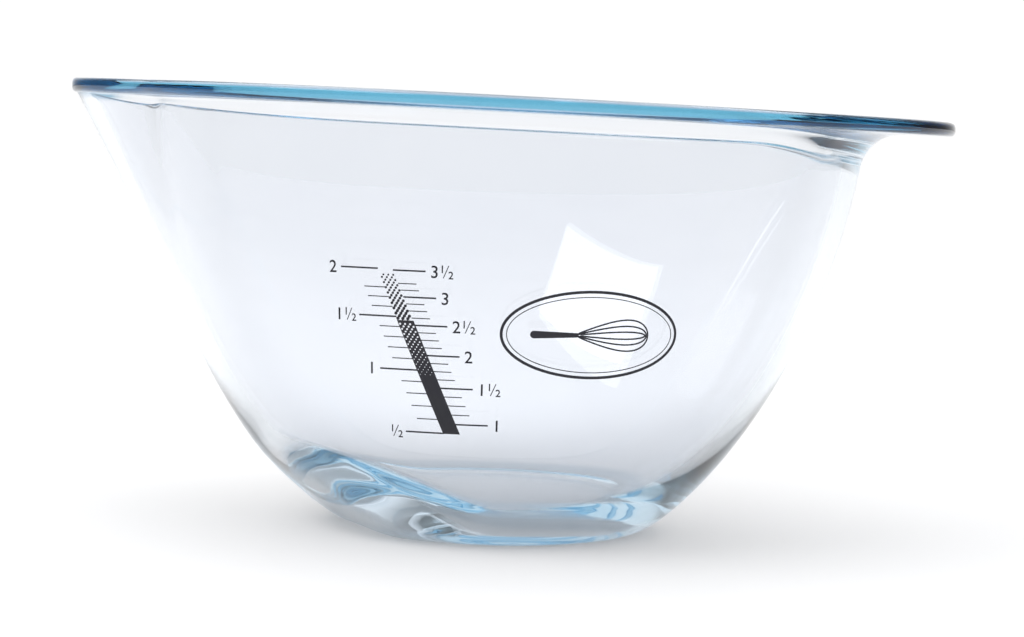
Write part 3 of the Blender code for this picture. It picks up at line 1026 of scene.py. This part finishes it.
    def numeral_art(self) -> list[tuple[bpy.types.Mesh, float, float]]:
        """The numerals beside the main ticks, with halves as built-up fractions."""
        art = []
        style = self.style
        for litre_side, counts in ((True, (4, 3, 2, 1)), (False, (7, 6, 5, 4, 3, 2))):
            for count in counts:
                z = self.height(count / 2 * (1.0 if litre_side else self.litres_per_pint))
                whole, half = divmod(count, 2)
                digit = style.digit_width * style.size if whole else 0.0
                fraction = style.half_width * style.size if half else 0.0
                if litre_side:
                    arc = self.left(z) - self.litre_tick[0] - style.gap - (digit + fraction)
                else:
                    arc = self.left(z) + self.width + self.pint_tick[0] + style.gap
                base = z - style.drop
                if whole:
                    art.append((self.glyph(str(whole)), arc + digit / 2, base))
                if half:
                    art += self.half_art(arc + digit, base, fraction)
        return art

    def build(self) -> list[bpy.types.Object]:
        """Build the scale's prints.

        Returns:
            The band, its dots, the ticks and the numerals.
        """
        dot_tree = stamping_tree(Stamp.DOT, self.shop.enamel)
        bar_tree = stamping_tree(Stamp.BAR, self.shop.enamel)
        band = self.shop.lay_solid_art("scale_band_print", self.band(dot_tree))
        dots = self.shop.lay_solid_art("scale_dots_print", self.dots(dot_tree))
        places, sizes = self.ticks()
        bars = stamp_points("bars", bar_tree, places, sizes, 10, self.shop.thickness)
        ticks = self.shop.lay_solid_art("scale_ticks_print", bars)
        numerals = self.shop.lay_flat_art("scale_numerals_print", self.numeral_art())
        numeral_nodes = [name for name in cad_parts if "numeral" in name]
        self.shop.finish(band, ["scale_band"])
        for piece, nodes in ((dots, []), (ticks, []), (numerals, numeral_nodes)):
            self.shop.finish(piece, nodes)
        return [band, dots, ticks, numerals]


@dataclass
class WhiskEmblem:
    """A plain oval frame round a balloon whisk."""

    shop: PrintShop
    arc: float = 31.5 * MM
    z: float = 74 * MM
    half_width: float = 29.0 * MM
    half_height: float = 14.1 * MM
    frame_line: float = 0.9 * MM
    fine_line: float = 0.28 * MM
    fine_inset: float = 2.1 * MM
    wire: float = 0.5 * MM
    wires: tuple[tuple[float, float], ...] = (
        (7.0 * MM, 23.5 * MM),
        (4.2 * MM, 23.0 * MM),
        (1.6 * MM, 22.5 * MM),
    )
    wire_start: float = -5.0 * MM
    wire_pinch: float = 0.25
    handle_end: float = -18.5 * MM
    handle_neck: float = -4.8 * MM
    handle_half_width: float = 1.2 * MM
    neck_half_width: float = 0.7 * MM

    def oval(self, inset: float) -> np.ndarray:
        """A closed elliptical path inside the frame."""
        t = np.linspace(0, 2 * math.pi, 97)[:-1]
        return np.stack([(self.half_width - inset) * np.cos(t), (self.half_height - inset) * np.sin(t)], 1)

    def loop(self, half_height: float, length: float) -> np.ndarray:
        """A closed drop-shaped path of one whisk wire, pointed at the handle."""
        t = np.linspace(0, 2 * math.pi, 65)[:-1]
        along = (1 - np.cos(t)) / 2
        swell = self.wire_pinch + (1 - self.wire_pinch) * along
        return np.stack([self.wire_start + length * along, half_height * np.sin(t) * swell], 1)

    def handle(self) -> Outline:
        """The whisk's handle, a little thicker towards its rounded end."""
        t = np.linspace(math.pi / 2, 3 * math.pi / 2, 9)
        round_end = self.handle_half_width
        end = [(self.handle_end + round_end * math.cos(a), round_end * math.sin(a)) for a in t]
        neck = (self.handle_neck, self.neck_half_width)
        return [neck] + end + [(neck[0], -neck[1])]

    def build(self) -> bpy.types.Object:
        """Build the emblem.

        Returns:
            The finished print.
        """
        outlines = [
            ribbon(self.oval(self.frame_line / 2), self.frame_line),
            ribbon(self.oval(self.fine_inset), self.fine_line),
            [self.handle()],
        ]
        outlines += [ribbon(self.loop(*sizes), self.wire) for sizes in self.wires]
        art = [(flat_curve_mesh("emblem_line", outline), self.arc, self.z) for outline in outlines]
        nodes = [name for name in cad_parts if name.startswith(("emblem", "whisk"))]
        return self.shop.finish(self.shop.lay_flat_art("whisk_emblem_print", art), nodes)


@dataclass(frozen=True)
class Softbox:
    """One rectangular lamp that faces the middle of the bowl. Sizes are in metres, the power in watts."""

    name: str
    place: tuple[float, float, float]
    width: float
    height: float
    power: float
    aim_z: float = 0.08

    def hang(self) -> None:
        """Hang the lamp."""
        lamp = bpy.data.lights.new(self.name, "AREA")
        lamp.shape = "RECTANGLE"
        lamp.size = self.width
        lamp.size_y = self.height
        lamp.energy = self.power
        obj = link(self.name, lamp)
        obj.location = self.place
        aim = Vector((0, 0, self.aim_z)) - Vector(self.place)
        obj.rotation_euler = aim.to_track_quat("-Z", "Y").to_euler()


@dataclass
class Studio:
    """The floor, the soft light all round and the camera."""

    floor_material: bpy.types.Material
    camera_place: tuple[float, float, float] = (6.12 * MM, -950 * MM, 135.26 * MM)
    camera_pitch: float = 3.84
    camera_roll: float = 1.85
    camera_lens: float = 97.2
    light_bounces: int = 64
    floor_glow: float = 0.16
    floor_half: float = 6.0
    floor_drop: float = 0.05 * MM
    backdrop: float = 1.03
    fade_ends: tuple[float, float] = (-0.4, 0.4)
    fade_lowest: float = 0.12
    side_ends: tuple[float, float] = (0.2, 0.75)
    side_dimming: float = 0.85
    softboxes: tuple[Softbox, ...] = (
        Softbox("window_softbox", (-0.77, -0.60, 0.98), 0.95, 0.40, 3.6),
        Softbox("top_softbox", (0.0, 0.1, 1.5), 1.6, 1.6, 2.0),
    )

    def build_floor(self) -> None:
        """Lay a plain pale floor that glows a little, so that shadows on it stay faint."""
        mesh = bpy.data.meshes.new("floor")
        half = self.floor_half
        corners = [(-half, -half), (half, -half), (half, half), (-half, half)]
        mesh.from_pydata([(x, y, -self.floor_drop) for x, y in corners], [], [(0, 1, 2, 3)])
        shader = self.floor_material.node_tree.nodes["Principled BSDF"]
        shader.inputs["Emission Color"].default_value = WHITE
        shader.inputs["Emission Strength"].default_value = self.floor_glow
        mesh.materials.append(self.floor_material)
        link("pale_floor", mesh)

    def build_light(self) -> None:
        """Light the bowl from softboxes and a white surround, dimmer at the sides and behind the camera."""
        world = bpy.data.worlds.new("soft_surround")
        bpy.context.scene.world = world
        world.use_nodes = True
        build = TreeBuilder(world.node_tree)
        back = world.node_tree.nodes["Background"]
        back.inputs["Color"].default_value = WHITE
        place = build.add("ShaderNodeTexCoord").outputs["Generated"]
        parts = build.add("ShaderNodeSeparateXYZ", {0: place}).outputs
        aside = build.step(build.math("ABSOLUTE", parts["X"]), self.side_ends)
        sides = build.math("SUBTRACT", 1.0, build.math("MULTIPLY", aside, self.side_dimming))
        near, far = self.fade_ends
        inputs = {"Value": parts["Y"], "From Min": near, "From Max": far, "To Min": self.fade_lowest}
        fade = build.add("ShaderNodeMapRange", inputs).outputs["Result"]
        path = build.add("ShaderNodeLightPath").outputs
        direct = build.math("MAXIMUM", path["Is Camera Ray"], path["Is Diffuse Ray"])
        plain = build.math("MULTIPLY", direct, self.backdrop)
        strength = build.math("MAXIMUM", build.math("MULTIPLY", fade, sides), plain)
        world.node_tree.links.new(strength, back.inputs["Strength"])
        for softbox in self.softboxes:
            softbox.hang()

    def build_camera(self) -> None:
        """Set up the camera."""
        camera = bpy.data.cameras.new("camera")
        camera.lens = self.camera_lens
        camera.sensor_width = 36
        camera.clip_start = 0.01
        obj = link("camera", camera)
        tip = Matrix.Rotation(math.radians(90 - self.camera_pitch), 4, "X")
        roll = Matrix.Rotation(math.radians(self.camera_roll), 4, "Z")
        obj.matrix_world = Matrix.Translation(self.camera_place) @ tip @ roll
        bpy.context.scene.camera = obj

    def build(self) -> None:
        """Build the whole studio."""
        self.build_floor()
        self.build_light()
        self.build_camera()
        scene = bpy.context.scene
        scene.view_settings.view_transform = "Standard"
        scene.cycles.max_bounces = self.light_bounces
        scene.cycles.transmission_bounces = self.light_bounces
        scene.cycles.glossy_bounces = self.light_bounces


def report_piece(piece: bpy.types.Object) -> None:
    """Log a finished piece's name and face count."""
    log.info("%s: %d faces", piece.name, len(piece.data.polygons))


def main() -> None:
    """Build the bowl, its print and the studio, and log each piece's face count."""
    logging.basicConfig(level=logging.INFO, format="%(name)s: %(message)s")
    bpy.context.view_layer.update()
    ripple = ripple_group()
    glass = ClearGlass(
        name="clear_blue_glass",
        colour=(0.95, 0.955, 0.98),
        patch_colour=(0.925, 0.935, 0.965),
        roughness=(0.0, 0.012),
        bump=0.08,
        ripple_scale=14.0,
        grain_scale=700.0,
        grain_share=0.02,
    )
    enamel = Finish(
        name="dark_print_enamel",
        colour=(0.003, 0.003, 0.010),
        patch_colour=(0.005, 0.005, 0.014),
        roughness=(0.45, 0.6),
        bump=0.3,
        ripple_scale=60.0,
    )
    pale = Finish(
        name="pale_floor",
        colour=(0.92, 0.92, 0.93),
        patch_colour=(0.9, 0.9, 0.91),
        roughness=(0.6, 0.7),
        bump=0.05,
        ripple_scale=3.0,
        grain_scale=40.0,
    )
    shape = BowlShape()
    report_piece(GlassBowl(shape, glass.material(ripple)).build())
    shop = PrintShop(shape, enamel.material(ripple))
    for piece in CapacityScale(shop).build():
        report_piece(piece)
    report_piece(WhiskEmblem(shop).build())
    Studio(pale.material(ripple)).build()


if __name__ == "__main__":
    main()
